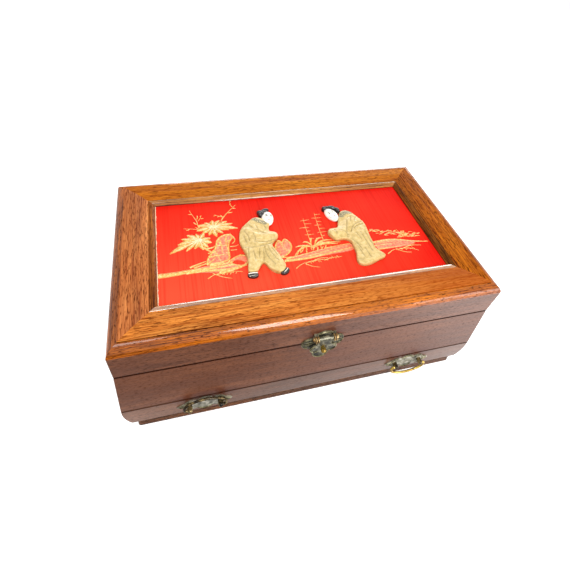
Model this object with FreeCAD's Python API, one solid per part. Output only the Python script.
import FreeCAD, Part
import math
import os

V = FreeCAD.Vector

# Driving dimensions, in millimetres. X runs to the right, Y to the back, Z up from the floor.
# Pieces are drawn about the middle of the case and saved with the origin on the floor, under the
# middle of the whole object, latch and moulding included.
case_width = 290.0
case_depth = 164.0
case_height = 45.9
lid_height = 31.8
foot_height = 7.0
band_height = 21.3
band_tuck = 6.5
front_tuck = 1.1
front_edge_round = 1.5
wall_thickness = 9.0
rail_thickness = 14.0
edge_round = 0.8
seam_gap = 0.3
slide_gap = 0.4

# Lid: mitred frame, ovolo moulding, bead and lacquer panel
frame_inset = 5.0
frame_rail_width = 19.6
frame_rail_thickness = 10.0
frame_flat_width = 10.0
frame_slope_drop = 1.2
moulding_width = 6.6
moulding_drop = 7.3
moulding_quirk = 0.8
moulding_fillet = 1.0
bead_width = 5.5
bead_rise = 2.6
panel_sink = 4.0
lid_board_thickness = 3.0
lid_lining_thickness = 4.0

# Case inside
floor_thickness = 3.0
floor_height = 2.0
floor_tongue = 4.0
lining_thickness = 1.5
lining_drop = 1.0
lining_gap = 0.1
divider_thickness = 4.0
divider_height = 24.0
divider_y = 12.0

# Base and feet
base_board_thickness = 3.0
base_rebate = 4.0
foot_inset = 9.5
foot_setback = 1.7
foot_width = 15.0
foot_round = 2.0

# Drawer
drawer_front_thickness = 12.0
drawer_wall = 6.0
drawer_wall_height = 15.7
drawer_bottom_thickness = 2.0
drawer_back_gap = 1.0
drawer_lining_thickness = 1.2

# Hinges: two butt hinges in a bevelled groove that stops the lid
hinge_spacing = 170.0
hinge_length = 28.0
hinge_setback = 4.0
hinge_leaf = 1.0
hinge_leaf_width = 4.4
knuckle_radius = 2.0
pin_radius = 0.9
running_clearance = 0.05
knuckle_gap = 0.3
lid_open_angle = 100.0
stop_clearance_angle = 2.0
screw_head_radius = 0.95
screw_head_height = 0.6
screw_shank_radius = 0.5
screw_edge = 1.0
screw_length = 6.0
screw_spacing = 18.0

# Latch: plate in two halves across the lid seam, hasp on a pin, staple in the hasp's fork
latch_plate_thickness = 0.8
latch_side_lobe_radius = 6.5
latch_side_lobe_x = 10.2
latch_top_lobe_radius = 9.0
latch_top_lobe_rise = 4.5
latch_bottom_lobe_radius = 6.5
latch_bottom_lobe_drop = 14.0
hasp_axis_rise = 9.0
hasp_axis_out = 3.4
eye_spacing = 14.0
eye_radius = 2.2
eye_width = 3.0
hasp_pin_radius = 0.8
hasp_pin_head_radius = 1.7
hasp_leaf_thickness = 1.0
hasp_lobe_radius = 5.0
hasp_lobe_x = 5.6
hasp_lobe_drop = 13.0
hasp_slot_width = 5.0
staple_radius = 1.7
staple_drop = 5.0
staple_out = 5.5
staple_eye_radius = 0.8
staple_collar_radius = 3.0
staple_collar_height = 0.8

# Drawer pulls: lobed plate, two ball posts, bail on the posts
pull_inset = 59.0
pull_plate_thickness = 0.8
pull_plate_middle_radius = 8.3
pull_plate_shoulder_radius = 6.6
pull_plate_shoulder_x = 9.5
pull_plate_tip_radius = 9.0
pull_plate_tip_offset = 6.0
pull_plate_tip_x = 14.0
pull_height = 19.0
post_spacing = 23.0
post_radius = 2.0
post_out = 4.4
post_shank_radius = 1.2
nut_radius = 2.6
nut_thickness = 2.0
bail_wire_radius = 1.0
bail_arm_x = 15.6
bail_turn_radius = 2.2
bail_shoulder_radius = 6.0
bail_shoulder_angle = 60.0
bail_lean_angle = 4.0

# Carved figures on the panel
figure_height = 72.0
figure_drawn_height = 72.0
figure_thickness = 3.6
figure_round = 1.0
head_thickness = 4.6
hair_thickness = 5.2
shoe_thickness = 2.6

# Derived places
half_w = case_width / 2
half_d = case_depth / 2
z_base = foot_height
z_case = z_base + band_height
z_lid = z_case + case_height
z_top = z_lid + lid_height
frame_half_w = half_w - frame_inset
frame_half_d = half_d - frame_inset
front_radius = (band_height ** 2 + front_tuck ** 2) / (2 * front_tuck)
hinge_y = half_d - hinge_setback
panel_top = z_top - panel_sink
z_rail_seat = z_top - frame_rail_thickness
board_half_w = half_w - wall_thickness
board_half_d = half_d - wall_thickness
floor_low = z_case + floor_height
floor_top = floor_low + floor_thickness
front_face = -half_d
pull_drop = z_case - pull_height
pull_face = front_face + front_radius - math.sqrt(front_radius ** 2 - pull_drop ** 2)
post_y = pull_face - post_out
drawer_low = z_base + base_board_thickness + seam_gap
drawer_half_w = half_w - rail_thickness - slide_gap
drawer_front_back = front_face + drawer_front_thickness
drawer_back_y = half_d - rail_thickness - drawer_back_gap
front_reach = half_d + staple_out + staple_radius
back_reach = frame_half_d + moulding_width
origin_shift = (front_reach - back_reach) / 2


def box(x0, x1, y0, y1, z0, z1):
    return Part.makeBox(x1 - x0, y1 - y0, z1 - z0, V(x0, y0, z0))


def rod(radius, start, direction, length):
    return Part.makeCylinder(radius, length, start, direction)


def fuse(shapes):
    first = shapes[0]
    return first.multiFuse(shapes[1:]).removeSplitter() if len(shapes) > 1 else first


def save(name, *solids):
    shape = solids[0] if len(solids) == 1 else Part.makeCompound(list(solids))
    shape.translated(V(0, origin_shift, 0)).exportStep("parts/" + name + ".step")


def outline(points, to_point):
    # Points are (a, b); a third item (a, b) on a point is the middle of the arc that leads to it.
    edges = []
    last = points[0]
    for point in points[1:] + points[:1]:
        start = to_point(last[0], last[1])
        end = to_point(point[0], point[1])
        if len(point) == 3:
            edges.append(Part.Arc(start, to_point(*point[2]), end).toShape())
        else:
            edges.append(Part.LineSegment(start, end).toShape())
        last = point
    return Part.Face(Part.Wire(edges))


def strip(section, half_along, half_normal, mitre_reach=30.0):
    # A moulding's section (outward, z) run along X on the front side and mitred at both ends.
    span = half_along + mitre_reach
    face = outline(section, lambda u, z: V(-span, -(half_normal + u), z))
    bar = face.extrude(V(2 * span, 0, 0))
    outer = half_normal + mitre_reach
    inner = half_normal - mitre_reach
    corners = [
        V(-span, -outer, -1),
        V(span, -outer, -1),
        V(half_along - mitre_reach, -inner, -1),
        V(-(half_along - mitre_reach), -inner, -1),
    ]
    wedge = Part.Face(Part.makePolygon(corners + corners[:1])).extrude(V(0, 0, z_top + 2))
    return bar.common(wedge)


def four_sides(section, half_x, half_y):
    sides = {}
    for name, turn in (("front", 0), ("right", 90), ("back", 180), ("left", 270)):
        along, normal = (half_x, half_y) if turn % 180 == 0 else (half_y, half_x)
        piece = strip(section, along, normal)
        piece.rotate(V(0, 0, 0), V(0, 0, 1), turn)
        sides[name] = piece
    return sides


def arc_middle(centre_a, centre_b, radius, degrees):
    angle = math.radians(degrees)
    return (centre_a + radius * math.cos(angle), centre_b + radius * math.sin(angle))


def lid_frame():
    inner = -frame_rail_width
    rail = [
        (0, z_rail_seat),
        (0, z_top),
        (-frame_flat_width, z_top),
        (inner, z_top - frame_slope_drop),
        (inner, z_rail_seat),
    ]
    for side, piece in four_sides(rail, frame_half_w, frame_half_d).items():
        save("lid_rail_" + side, piece)


def edge_moulding():
    # Quirk step under the rail's top edge, then a quarter round down to a square lower edge.
    high = z_top - moulding_quirk
    low = z_top - moulding_drop
    lip = low + moulding_fillet
    middle = (
        moulding_width * math.sin(math.radians(45)),
        lip + (high - lip) * math.cos(math.radians(45)),
    )
    section = [
        (0, low),
        (0, high),
        (moulding_width, lip, middle),
        (moulding_width, low),
    ]
    for side, piece in four_sides(section, frame_half_w, frame_half_d).items():
        save("edge_moulding_" + side, piece)


def panel_bead():
    # Low rounded strip on the panel's margin, against the inner edge of the rails.
    outer = -frame_rail_width
    inner = outer - bead_width
    section = [
        (outer, panel_top),
        (outer, panel_top + bead_rise),
        (inner, panel_top + 0.6, (outer - bead_width * 0.7, panel_top + bead_rise * 0.82)),
        (inner, panel_top),
    ]
    for side, piece in four_sides(section, frame_half_w, frame_half_d).items():
        save("panel_bead_" + side, piece)


def hinge_centres():
    return [side * hinge_spacing / 2 for side in (-1, 1)]


def screw_places(centre):
    y = hinge_y - hinge_leaf_width + screw_edge
    return [(centre + side * screw_spacing / 2, y) for side in (-1, 1)]


def hinge_screw(x, y, up):
    # Countersunk head flush in the leaf, shank going into the wood.
    way = 1 if up else -1
    face_z = z_lid + way * running_clearance
    head = Part.makeCone(
        screw_head_radius, screw_shank_radius, screw_head_height, V(x, y, face_z), V(0, 0, way)
    )
    shank = rod(screw_shank_radius, V(x, y, face_z + way * screw_head_height), V(0, 0, way), screw_length)
    return head.fuse(shank).removeSplitter()


def hinge_leaf_plate(centre, up):
    # The case leaf has the two outer knuckles and the lid leaf has the middle one.
    way = 1 if up else -1
    low, high = sorted((z_lid + way * running_clearance, z_lid + way * hinge_leaf))
    half = hinge_length / 2
    third = hinge_length / 3
    plate = box(centre - half, centre + half, hinge_y - hinge_leaf_width, hinge_y, low, high)
    spans = [(-third / 2, third / 2)] if up else [(-half, -third / 2), (third / 2, half)]
    others = [(-half, -third / 2), (third / 2, half)] if up else [(-third / 2, third / 2)]
    solid = plate
    for start, end in others:
        room = rod(
            knuckle_radius + knuckle_gap, V(centre + start - knuckle_gap, hinge_y, z_lid),
            V(1, 0, 0), end - start + 2 * knuckle_gap,
        )
        solid = solid.cut(room)
    for start, end in spans:
        knuckle = rod(knuckle_radius, V(centre + start, hinge_y, z_lid), V(1, 0, 0), end - start)
        solid = solid.fuse(knuckle)
    bore = rod(
        pin_radius + running_clearance, V(centre - half - 1, hinge_y, z_lid), V(1, 0, 0), hinge_length + 2
    )
    solid = solid.cut(bore)
    for x, y in screw_places(centre):
        solid = solid.cut(hinge_screw(x, y, up))
    return solid.removeSplitter()


def hinge_recess(wall, up):
    # Mortises for the leaves, room for the knuckles and holes for the screws.
    way = 1 if up else -1
    for centre in hinge_centres():
        half = hinge_length / 2 + knuckle_gap
        low, high = sorted((z_lid - way, z_lid + way * hinge_leaf))
        mortise = box(centre - half, centre + half, hinge_y - hinge_leaf_width, hinge_y, low, high)
        barrel = rod(knuckle_radius + knuckle_gap, V(centre - half, hinge_y, z_lid), V(1, 0, 0), 2 * half)
        wall = wall.cut(mortise).cut(barrel)
        for x, y in screw_places(centre):
            wall = wall.cut(hinge_screw(x, y, up))
    return wall


def stop_bevel(wall, up):
    # The back edges of lid and case are bevelled to meet when the lid is fully open.
    way = 1 if up else -1
    reach = 4 * hinge_setback
    slope = math.radians((lid_open_angle + stop_clearance_angle) / 2)
    corners = [
        V(-case_width, hinge_y, z_lid),
        V(-case_width, hinge_y + reach, z_lid),
        V(-case_width, hinge_y + reach, z_lid + way * reach * math.tan(slope)),
    ]
    bevel = Part.Face(Part.makePolygon(corners + corners[:1])).extrude(V(2 * case_width, 0, 0))
    return wall.cut(bevel)


def save_walls(name, walls, up):
    for side, piece in walls.items():
        if side == "back":
            piece = hinge_recess(piece, up)
        if side != "front":
            piece = stop_bevel(piece, up)
        save(name + side, piece)


def hinges():
    save("hinge_leaves_case", *[hinge_leaf_plate(x, False) for x in hinge_centres()])
    save("hinge_leaves_lid", *[hinge_leaf_plate(x, True) for x in hinge_centres()])
    half = hinge_length / 2
    save("hinge_pins", *[rod(pin_radius, V(x - half, hinge_y, z_lid), V(1, 0, 0), hinge_length)
                         for x in hinge_centres()])
    for name, up in (("hinge_screws_case", False), ("hinge_screws_lid", True)):
        places = [place for x in hinge_centres() for place in screw_places(x)]
        save(name, *[hinge_screw(x, y, up) for x, y in places])


def lid_walls():
    # Outside slopes out from the seam to the moulding, top is rebated for the rails.
    inner = frame_inset - wall_thickness
    outer = frame_inset
    shelf = z_top - moulding_drop
    section = [
        (inner, z_lid),
        (outer - edge_round, z_lid),
        (outer, z_lid + edge_round, arc_middle(outer - edge_round, z_lid + edge_round, edge_round, -45)),
        (moulding_width, shelf),
        (0, shelf),
        (0, z_rail_seat),
        (inner, z_rail_seat),
    ]
    save_walls("lid_wall_", four_sides(section, frame_half_w, frame_half_d), True)


def lid_panel():
    low = z_rail_seat - lid_board_thickness
    save("lid_board", box(-board_half_w, board_half_w, -board_half_d, board_half_d, low, z_rail_seat))
    half_x = frame_half_w - frame_rail_width
    half_y = frame_half_d - frame_rail_width
    save("lacquer_panel", box(-half_x, half_x, -half_y, half_y, z_rail_seat, panel_top))
    pad_x = board_half_w - lining_gap
    pad_y = board_half_d - lining_gap
    pad = box(-pad_x, pad_x, -pad_y, pad_y, low - lid_lining_thickness, low)
    save("lid_lining", pad.makeFillet(lid_lining_thickness / 2, lower_edges(pad)))


def lower_edges(solid):
    low = solid.BoundBox.ZMin
    return [edge for edge in solid.Edges if edge.BoundBox.ZMax < low + 0.01]


def upper_edges(solid):
    high = solid.BoundBox.ZMax
    return [edge for edge in solid.Edges if edge.BoundBox.ZMin > high - 0.01]


def smooth_outline(points, z):
    # Points are drawn for a figure of the drawn height and follow the figure's own height.
    scale = figure_height / figure_drawn_height
    curve = Part.BSplineCurve()
    curve.interpolate([V(x * scale, y * scale, z) for x, y in points], PeriodicFlag=True)
    return Part.Face(Part.Wire(curve.toShape()))


def relief(points, thickness):
    solid = smooth_outline(points, panel_top).extrude(V(0, 0, thickness))
    return solid.makeFillet(figure_round, upper_edges(solid))


def oval(x, y, half_x, half_y, thickness, turn):
    scale = figure_height / figure_drawn_height
    half_x = half_x * scale
    half_y = half_y * scale
    ring = Part.Ellipse(V(0, 0, 0), max(half_x, half_y), min(half_x, half_y)).toShape()
    solid = Part.Face(Part.Wire(ring)).extrude(V(0, 0, thickness))
    solid.rotate(V(0, 0, 0), V(0, 0, 1), turn + (90 if half_y > half_x else 0))
    solid.translate(V(x * scale, y * scale, panel_top))
    tightest = min(half_x, half_y) ** 2 / max(half_x, half_y)
    return solid.makeFillet(min(figure_round, tightest / 2), upper_edges(solid))


def figures():
    # Left figure leans to the right in a jacket and trousers, right figure bows in a long robe.
    left_robe = relief([
        (-27.5, 22), (-32.5, 23), (-40.5, 18), (-46.5, 12), (-49.5, 3.5), (-50, -4.5), (-48, -13), (-47, -21),
        (-48, -29), (-48, -34), (-43, -34.5), (-39, -30.5), (-35, -26.5), (-33, -30), (-29.5, -35.5),
        (-25.5, -38), (-21.5, -37), (-19, -33.5), (-20, -25.5), (-22.5, -17.5), (-24.5, -10), (-20.5, -4),
        (-17.5, -0.5), (-19, 3.5), (-23, 5.5), (-23, 10.5), (-21.5, 16),
    ], figure_thickness)
    right_robe = relief([
        (43, 16.5), (48, 21), (54.5, 18.5), (59, 11.5), (62, 5), (62.5, -3), (61.5, -11), (61, -20),
        (61, -27), (64, -31), (66, -35), (61, -37.5), (54.5, -40), (49.5, -41.5), (44, -41.5), (40.5, -39),
        (40.5, -35), (42.5, -28.5), (43, -21.5), (41.5, -13.5), (37, -11.5), (31, -11.5), (27.5, -7.5),
        (26, -3), (28.5, 0.5), (35.5, 1.5), (39, 7.5),
    ], figure_thickness)
    left_head = oval(-21.6, 22.8, 5.2, 7.2, head_thickness, -14)
    right_head = oval(37.0, 19.0, 5.2, 7.2, head_thickness, 24)
    left_hair = oval(-25.4, 27.4, 5.0, 3.8, hair_thickness, 40)
    right_hair = oval(39.6, 26.2, 6.6, 3.4, hair_thickness, -22)
    left_head = left_head.cut(left_hair).cut(left_robe)
    right_head = right_head.cut(right_hair).cut(right_robe)
    left_hair = left_hair.cut(left_robe)
    right_hair = right_hair.cut(right_robe)
    shoes = [
        oval(-45.5, -37.0, 4.2, 2.6, shoe_thickness, -6).cut(left_robe),
        oval(-20.5, -37.2, 4.0, 2.6, shoe_thickness, 30).cut(left_robe),
    ]
    save("left_figure_robe", left_robe)
    save("right_figure_robe", right_robe)
    save("figure_heads", left_head, right_head)
    save("figure_hair", left_hair, right_hair)
    save("figure_shoes", *shoes)


def case_walls():
    groove_back = -wall_thickness + floor_tongue
    section = [
        (-wall_thickness, z_case),
        (-edge_round, z_case),
        (0, z_case + edge_round, arc_middle(-edge_round, z_case + edge_round, edge_round, -45)),
        (0, z_lid - edge_round),
        (-edge_round, z_lid, arc_middle(-edge_round, z_lid - edge_round, edge_round, 45)),
        (-wall_thickness, z_lid),
        (-wall_thickness, floor_top),
        (groove_back, floor_top),
        (groove_back, floor_low),
        (-wall_thickness, floor_low),
    ]
    save_walls("case_wall_", four_sides(section, half_w, half_d), False)
    half_x = half_w - wall_thickness + floor_tongue
    half_y = half_d - wall_thickness + floor_tongue
    save("case_floor", box(-half_x, half_x, -half_y, half_y, floor_low, floor_top))


def case_inside():
    half_x = board_half_w - lining_gap
    half_y = board_half_d - lining_gap
    high = z_lid - lining_drop - hinge_leaf
    tray = box(-half_x, half_x, -half_y, half_y, floor_top, high)
    room_x = half_x - lining_thickness
    room_y = half_y - lining_thickness
    low = floor_top + lining_thickness
    tray = tray.cut(box(-room_x, room_x, -room_y, room_y, low, high + 1))
    save("case_lining", tray)
    half = divider_thickness / 2
    top = low + divider_height
    long_one = box(-room_x, room_x, divider_y - half, divider_y + half, low, top)
    cross_one = box(-half, half, divider_y + half, room_y, low, top)
    save("dividers", long_one, cross_one)


def band_section(thickness, rebate, tuck):
    # Convex outside, upright at the case and curving in towards the floor.
    radius = (band_height ** 2 + tuck ** 2) / (2 * tuck)
    turn = math.asin(band_height / radius) / 2
    middle = (radius * math.cos(turn) - radius, z_case - radius * math.sin(turn))
    section = [
        (-thickness, z_case),
        (0, z_case),
        (-tuck, z_base, middle),
    ]
    if rebate:
        section += [
            (-thickness + base_rebate, z_base),
            (-thickness + base_rebate, z_base + base_board_thickness),
            (-thickness, z_base + base_board_thickness),
        ]
    else:
        section += [(-thickness, z_base)]
    return section


def base():
    rails = four_sides(band_section(rail_thickness, True, band_tuck), half_w, half_d)
    front_end = drawer_front_back + seam_gap
    ahead = box(-case_width, case_width, -case_depth, front_end, 0, z_top)
    save("base_rail_left", rails["left"].cut(ahead))
    save("base_rail_right", rails["right"].cut(ahead))
    save("base_rail_back", rails["back"])
    half_x = half_w - rail_thickness + base_rebate
    back = half_d - rail_thickness + base_rebate
    board = box(-half_x, half_x, front_end, back, z_base, z_base + base_board_thickness)
    save("base_board", board)
    for name, side in (("front", -1), ("back", 1)):
        outer = side * (half_d - foot_setback)
        inner = outer - side * foot_width
        half_x = half_w - foot_inset
        rail = box(-half_x, half_x, min(outer, inner), max(outer, inner), 0, foot_height)
        ends = [edge for edge in rail.Edges if edge.BoundBox.ZLength > foot_height / 2]
        rail = rail.makeFillet(foot_round, ends)
        tops = [edge for edge in upper_edges(rail) if edge.BoundBox.XLength > case_width / 2]
        outer_top = [edge for edge in tops if abs(edge.BoundBox.YMin - outer) < 0.01]
        save("foot_rail_" + name, rail.makeFillet(foot_round * 0.6, outer_top))


def post_places(centre):
    return [centre + side * post_spacing / 2 for side in (-1, 1)]


def pull_centres():
    return {"left": -(half_w - pull_inset), "right": half_w - pull_inset}


def band_barrel(extra, half_along):
    # The round body whose outside is the drawer front's face, grown by a plate's thickness.
    centre = V(-half_along, front_face + front_radius, z_case)
    return rod(front_radius + extra, centre, V(1, 0, 0), 2 * half_along)


def drawer():
    low = z_base + seam_gap
    high = z_case - seam_gap
    section = band_section(drawer_front_thickness, False, front_tuck)
    bar = outline(section, lambda u, z: V(-half_w, front_face - u, z)).extrude(V(case_width, 0, 0))
    nose = [edge for edge in lower_edges(bar) if edge.BoundBox.YMax < front_face + front_tuck + 0.01]
    bar = bar.makeFillet(front_edge_round, nose)
    for side in (-1, 1):
        end = outline(band_section(rail_thickness, False, band_tuck),
                      lambda u, z: V(side * (half_w + u), -half_d - 1, z))
        end = end.extrude(V(0, drawer_front_thickness + 2, 0))
        block = box(half_w - rail_thickness, half_w + 1, -half_d - 1, drawer_front_back + 1, z_base - 1, z_case)
        if side < 0:
            block = block.mirror(V(0, 0, 0), V(1, 0, 0))
        bar = bar.cut(block.cut(end))
    bar = bar.common(box(-half_w, half_w, -half_d, drawer_front_back, low, high))
    for centre in pull_centres().values():
        for x in post_places(centre):
            bar = bar.cut(rod(post_shank_radius, V(x, -half_d - 1, pull_height), V(0, 1, 0), 2 * rail_thickness))
    save("drawer_front", bar)

    top = drawer_low + drawer_wall_height
    inner = drawer_half_w - drawer_wall
    save("drawer_side_left", box(-drawer_half_w, -inner, drawer_front_back, drawer_back_y, drawer_low, top))
    save("drawer_side_right", box(inner, drawer_half_w, drawer_front_back, drawer_back_y, drawer_low, top))
    save("drawer_back", box(-inner, inner, drawer_back_y - drawer_wall, drawer_back_y, drawer_low, top))
    inside_back = drawer_back_y - drawer_wall
    board_top = drawer_low + drawer_bottom_thickness
    save("drawer_bottom", box(-inner, inner, drawer_front_back, inside_back, drawer_low, board_top))
    room = inner - lining_gap
    felt = box(
        -room, room, drawer_front_back + lining_gap, inside_back - lining_gap,
        board_top, board_top + drawer_lining_thickness,
    )
    save("drawer_lining", felt)


def pull_plate(centre):
    # Lobed outline laid on the band's curve.
    deep = 2 * rail_thickness
    start = front_face - pull_plate_tip_x

    def disc(x, z, radius):
        return rod(radius, V(centre + x, start, pull_height + z), V(0, 1, 0), deep)

    lobes = [disc(0, 0, pull_plate_middle_radius)]
    for side in (-1, 1):
        tip_x = side * pull_plate_tip_x
        upper = disc(tip_x, pull_plate_tip_offset, pull_plate_tip_radius)
        lobes.append(upper.common(disc(tip_x, -pull_plate_tip_offset, pull_plate_tip_radius)))
        lobes.append(disc(side * pull_plate_shoulder_x, 0, pull_plate_shoulder_radius))
    prism = fuse(lobes)
    shell = band_barrel(pull_plate_thickness, case_width).cut(band_barrel(0, case_width))
    near = box(-case_width, case_width, front_face - 4, drawer_front_back, z_base, z_case)
    plate = prism.common(shell.common(near))
    for x in post_places(centre):
        plate = plate.cut(rod(post_shank_radius, V(x, -half_d - 4, pull_height), V(0, 1, 0), 2 * rail_thickness))
    return plate


def pull_post(x):
    # Ball-ended post with a cross hole for the bail, and a shank through the drawer front.
    start = V(x, post_y, pull_height)
    post = rod(post_radius, start, V(0, 1, 0), 2 * post_out)
    post = post.fuse(Part.makeSphere(post_radius, start))
    post = post.cut(band_barrel(pull_plate_thickness, case_width))
    shank_end = drawer_front_back + nut_thickness + seam_gap
    shank = rod(post_shank_radius, V(x, post_y + post_radius, pull_height), V(0, 1, 0),
                shank_end - post_y - post_radius)
    post = post.fuse(shank)
    hole = rod(bail_wire_radius + running_clearance, V(x - 2 * post_radius, post_y, pull_height), V(1, 0, 0),
               4 * post_radius)
    return post.cut(hole).removeSplitter()


def pull_nut(x):
    nut = Part.Face(Part.makePolygon([
        V(x + nut_radius * math.cos(math.radians(60 * k)), drawer_front_back,
          pull_height + nut_radius * math.sin(math.radians(60 * k))) for k in range(7)
    ])).extrude(V(0, nut_thickness, 0))
    return nut.cut(rod(post_shank_radius, V(x, post_y, pull_height), V(0, 1, 0), 3 * rail_thickness))


def bail(centre, raised):
    # Wire from pin to pin: inward pins, tight turns, shoulders and a flat crown, all tangent arcs.
    pin_end = post_spacing / 2 - post_radius * 0.6
    turn = bail_turn_radius
    shoulder = bail_shoulder_radius
    sweep = math.radians(bail_shoulder_angle)
    shoulder_x = bail_arm_x - shoulder
    join_x = shoulder_x + shoulder * math.cos(sweep)
    join_z = turn + shoulder * math.sin(sweep)
    crown = join_x / math.cos(sweep)
    crown_z = join_z - crown * math.sin(sweep)
    half = math.radians(45)

    def at(x, z):
        return V(centre + x, post_y, pull_height + z)

    def side(sign):
        corner = (bail_arm_x - turn + turn * math.sin(half), turn - turn * math.cos(half))
        middle = (shoulder_x + shoulder * math.cos(sweep / 2), turn + shoulder * math.sin(sweep / 2))
        return [
            Part.LineSegment(at(sign * pin_end, 0), at(sign * (bail_arm_x - turn), 0)).toShape(),
            Part.Arc(at(sign * (bail_arm_x - turn), 0), at(sign * corner[0], corner[1]),
                     at(sign * bail_arm_x, turn)).toShape(),
            Part.Arc(at(sign * bail_arm_x, turn), at(sign * middle[0], middle[1]),
                     at(sign * join_x, join_z)).toShape(),
        ]

    top = Part.Arc(at(-join_x, join_z), at(0, crown_z + crown), at(join_x, join_z)).toShape()
    path = Part.Wire(side(-1) + [top] + side(1)[::-1])
    ring = Part.Wire(Part.Circle(at(-pin_end, 0), V(1, 0, 0), bail_wire_radius).toShape())
    wire = path.makePipeShell([ring], True, False)
    angle = bail_lean_angle if raised else 180
    wire.rotate(at(0, 0), V(-1, 0, 0), angle)
    return wire


def pulls():
    posts = []
    nuts = []
    for side, centre in pull_centres().items():
        save("pull_plate_" + side, pull_plate(centre))
        save("pull_bail_" + side, bail(centre, side == "left"))
        posts += [pull_post(x) for x in post_places(centre)]
        nuts += [pull_nut(x) for x in post_places(centre)]
    save("pull_posts", *posts)
    save("pull_nuts", *nuts)


def on_lid_slope(shape):
    # The lid wall leans out a little, so what is fixed to it is turned to lie on it.
    rise = lid_height - moulding_drop - edge_round
    lean = math.degrees(math.atan2(moulding_width - frame_inset, rise))
    shape.rotate(V(0, front_face, z_lid + edge_round), V(1, 0, 0), lean)
    return shape


def latch_lobes(lobes):
    start = front_face - latch_plate_thickness
    return fuse([rod(r, V(x, start, z_lid + z), V(0, 1, 0), latch_plate_thickness) for x, z, r in lobes])


def latch():
    sides = [(side * latch_side_lobe_x, 0, latch_side_lobe_radius) for side in (-1, 1)]
    whole = latch_lobes(sides + [
        (0, latch_top_lobe_rise, latch_top_lobe_radius),
        (0, -latch_bottom_lobe_drop / 2, latch_bottom_lobe_radius),
        (0, -latch_bottom_lobe_drop, latch_bottom_lobe_radius),
    ])
    wide = latch_side_lobe_x + latch_side_lobe_radius + 1
    deep = latch_plate_thickness + 1
    seat = edge_round
    upper = whole.common(box(-wide, wide, front_face - deep, front_face, z_lid + seat, z_lid + 2 * wide))
    lower = whole.common(box(-wide, wide, front_face - deep, front_face, z_lid - 2 * wide, z_lid - seat))

    axis_y = front_face - hasp_axis_out
    axis_z = z_lid + hasp_axis_rise
    for side in (-1, 1):
        x = side * eye_spacing / 2 - eye_width / 2
        eye = rod(eye_radius, V(x, axis_y, axis_z), V(1, 0, 0), eye_width)
        web = box(x, x + eye_width, axis_y, front_face, axis_z - eye_radius, axis_z + eye_radius)
        upper = upper.fuse(eye).fuse(web)
    span = eye_spacing + eye_width + 1
    upper = upper.cut(rod(hasp_pin_radius, V(-span / 2, axis_y, axis_z), V(1, 0, 0), span)).removeSplitter()
    save("latch_lid_plate", on_lid_slope(upper))

    pin_half = (eye_spacing + eye_width) / 2
    pin = rod(hasp_pin_radius, V(-pin_half, axis_y, axis_z), V(1, 0, 0), 2 * pin_half)
    for side in (-1, 1):
        ball = Part.makeSphere(hasp_pin_head_radius, V(side * pin_half, axis_y, axis_z))
        inside = box(-pin_half, pin_half, axis_y - span, axis_y + span, axis_z - span, axis_z + span)
        pin = pin.fuse(ball.cut(inside))
    save("hasp_pin", on_lid_slope(pin.removeSplitter()))

    barrel_half = (eye_spacing - eye_width) / 2 - knuckle_gap
    leaf_y = axis_y - hasp_leaf_thickness / 2
    lobes = [
        rod(hasp_lobe_radius, V(side * hasp_lobe_x, leaf_y, axis_z - hasp_lobe_drop), V(0, 1, 0),
            hasp_leaf_thickness)
        for side in (-1, 1)
    ]
    neck = box(-barrel_half, barrel_half, leaf_y, leaf_y + hasp_leaf_thickness, axis_z - hasp_lobe_drop, axis_z)
    barrel = rod(eye_radius - knuckle_gap, V(-barrel_half, axis_y, axis_z), V(1, 0, 0), 2 * barrel_half)
    slot_top = z_lid - staple_drop + hasp_slot_width
    half = hasp_slot_width / 2
    slot = box(-half, half, leaf_y - 1, leaf_y + 2, axis_z - 3 * hasp_lobe_drop, slot_top - half)
    slot = slot.fuse(rod(half, V(0, leaf_y - 1, slot_top - half), V(0, 1, 0), hasp_leaf_thickness + 2))
    hasp = fuse(lobes + [neck, barrel]).cut(slot)
    hasp = hasp.cut(rod(hasp_pin_radius + running_clearance, V(-span / 2, axis_y, axis_z), V(1, 0, 0), span))
    save("hasp", on_lid_slope(hasp.removeSplitter()))

    staple_z = z_lid - staple_drop
    tip = front_face - staple_out
    staple = rod(staple_radius, V(0, tip, staple_z), V(0, 1, 0), staple_out - latch_plate_thickness)
    staple = staple.fuse(Part.makeSphere(staple_radius, V(0, tip, staple_z)))
    collar_y = front_face - latch_plate_thickness - staple_collar_height
    staple = staple.fuse(rod(staple_collar_radius, V(0, collar_y, staple_z), V(0, 1, 0), staple_collar_height))
    eye_y = tip + staple_eye_radius
    staple = staple.cut(rod(staple_eye_radius, V(-staple_out, eye_y, staple_z), V(1, 0, 0), 2 * staple_out))
    save("latch_staple", staple.removeSplitter())
    save("latch_case_plate", lower)


os.makedirs("parts", exist_ok=True)
lid_frame()
edge_moulding()
panel_bead()
lid_walls()
lid_panel()
figures()
hinges()
case_walls()
case_inside()
base()
drawer()
pulls()
latch()
